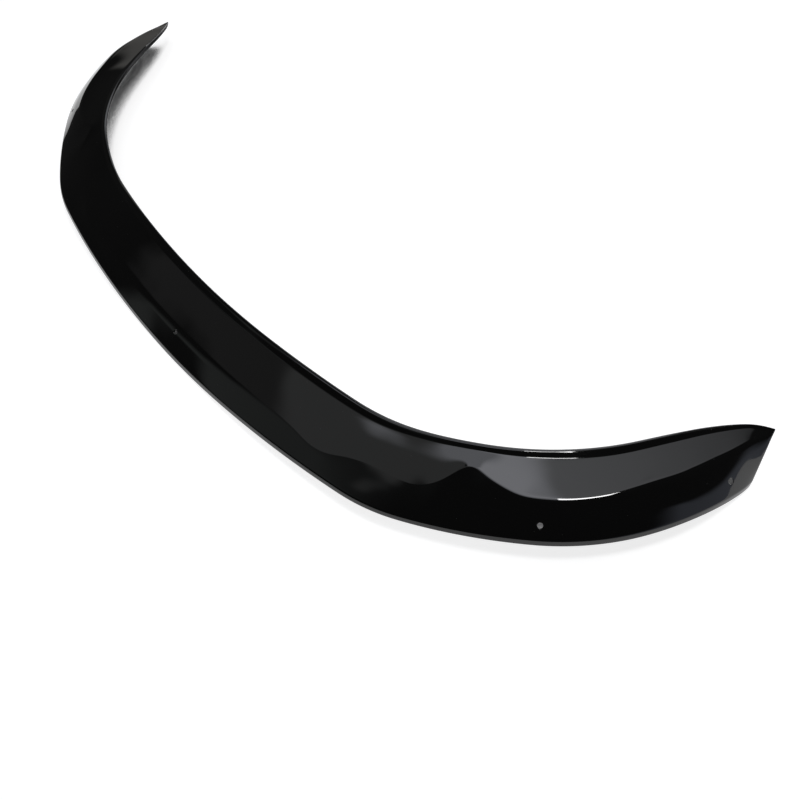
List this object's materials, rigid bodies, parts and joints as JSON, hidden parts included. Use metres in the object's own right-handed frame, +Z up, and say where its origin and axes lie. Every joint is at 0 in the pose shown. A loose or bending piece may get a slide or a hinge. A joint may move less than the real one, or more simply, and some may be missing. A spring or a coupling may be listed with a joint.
{
  "type": "hood bug deflector",
  "caption": "Curved gloss-black band that stands along a car bonnet's leading edge, with a turned-up lip, folded wings and small screw holes.",
  "frame": {"origin": "middle of the box, on the plane that the lower edge's middle and the two lower end corners stand on", "axes": "+X across the car, +Y towards the rear of the car, +Z up"},
  "size_m": [1.4414, 0.4641, 0.0651],
  "materials": {
    "gloss_black": "polished gloss black acrylic"
  },
  "bodies": {
    "root": {"deflector": "gloss_black"}
  },
  "joints": []
}
